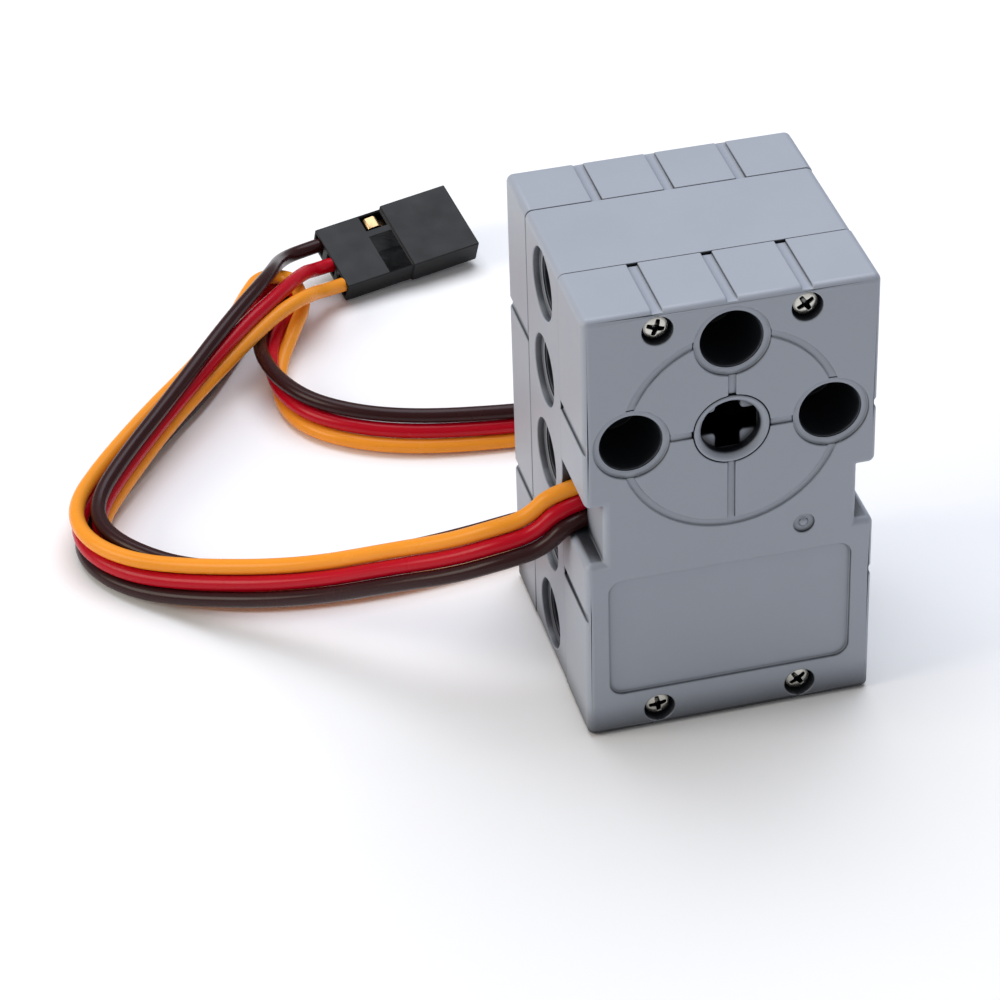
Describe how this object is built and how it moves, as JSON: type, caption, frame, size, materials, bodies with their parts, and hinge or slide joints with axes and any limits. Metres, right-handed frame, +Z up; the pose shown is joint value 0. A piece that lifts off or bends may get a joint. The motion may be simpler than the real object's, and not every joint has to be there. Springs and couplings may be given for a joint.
{
  "type": "micro servo",
  "caption": "Micro servo with a grid of round pin holes, a cross-socket output hub flush in its front face, and a flat ribbon lead that ends in a pin-header plug.",
  "frame": {"origin": "middle of the base", "axes": "+X across the body to the right, -Y out of the output face, +Z up"},
  "size_m": [0.0606, 0.0799, 0.0396],
  "materials": {
    "housing": "moulded, fine satin",
    "hub": "moulded, fine satin",
    "gear": "moulded nylon, satin",
    "screw": "nickel plated",
    "steel": "ground",
    "bronze": "turned",
    "magnet": "sintered, dull",
    "winding": "enamelled copper",
    "contact": "pressed, plated",
    "sensor_case": "pressed",
    "sensor_lead": "insulation",
    "board": "solder resist",
    "chip": "moulded epoxy",
    "capacitor": "drawn can",
    "brown_insulation": "soft, glossy",
    "red_insulation": "soft, glossy",
    "orange_insulation": "soft, glossy",
    "black_plastic": "moulded, satin",
    "gland": "soft, matte"
  },
  "bodies": {
    "housing": {"front_cover": "housing", "mid_frame": "housing", "rear_cover": "housing", "front_screws": "screw", "rear_screws": "screw", "front_bush": "bronze", "rear_bush": "bronze", "first_gear_pin": "steel", "second_gear_pin": "steel", "motor_can": "steel", "motor_end_cap": "black_plastic", "motor_magnets": "magnet", "motor_terminals": "contact", "sensor_case": "sensor_case", "sensor_terminals": "contact", "sensor_leads": "sensor_lead", "control_board": "board", "control_chip": "chip", "driver_chip": "chip", "board_capacitor": "capacitor", "board_resistors": "chip", "brown_wire": "brown_insulation", "red_wire": "red_insulation", "orange_wire": "orange_insulation", "plug_housing": "black_plastic", "plug_contacts": "contact", "lead_gland": "gland"},
    "output": {"output_hub": "hub", "output_gear": "gear", "sensor_rotor": "contact"},
    "second_stage": {"second_gear": "gear"},
    "first_stage": {"first_gear": "gear"},
    "motor_rotor": {"motor_shaft": "steel", "motor_armature": "winding", "motor_pinion": "bronze"}
  },
  "joints": [
    {"name": "output_turn", "type": "hinge", "parent": "housing", "child": "output", "pos_m": [0, 0, 0.0278], "axis": [0, 1, 0], "range_deg": [-135, 135]},
    {"name": "second_turn", "type": "hinge", "parent": "housing", "child": "second_stage", "pos_m": [0.00194, 0, 0.01922], "axis": [0, 1, 0], "range_deg": [-460, 460]},
    {"name": "first_turn", "type": "hinge", "parent": "housing", "child": "first_stage", "pos_m": [-0.003, 0, 0.01455], "axis": [0, 1, 0], "range_deg": [-1102.6, 1102.6]},
    {"name": "motor_turn", "type": "hinge", "parent": "housing", "child": "motor_rotor", "pos_m": [0, 0, 0.008], "axis": [0, 1, 0], "range_deg": [-2866.16, 2866.16]}
  ],
  "couplings": [
    {"joint": "second_turn", "follows": "output_turn", "ratio": -3.4},
    {"joint": "first_turn", "follows": "output_turn", "ratio": 8.16},
    {"joint": "motor_turn", "follows": "output_turn", "ratio": -21.216}
  ]
}
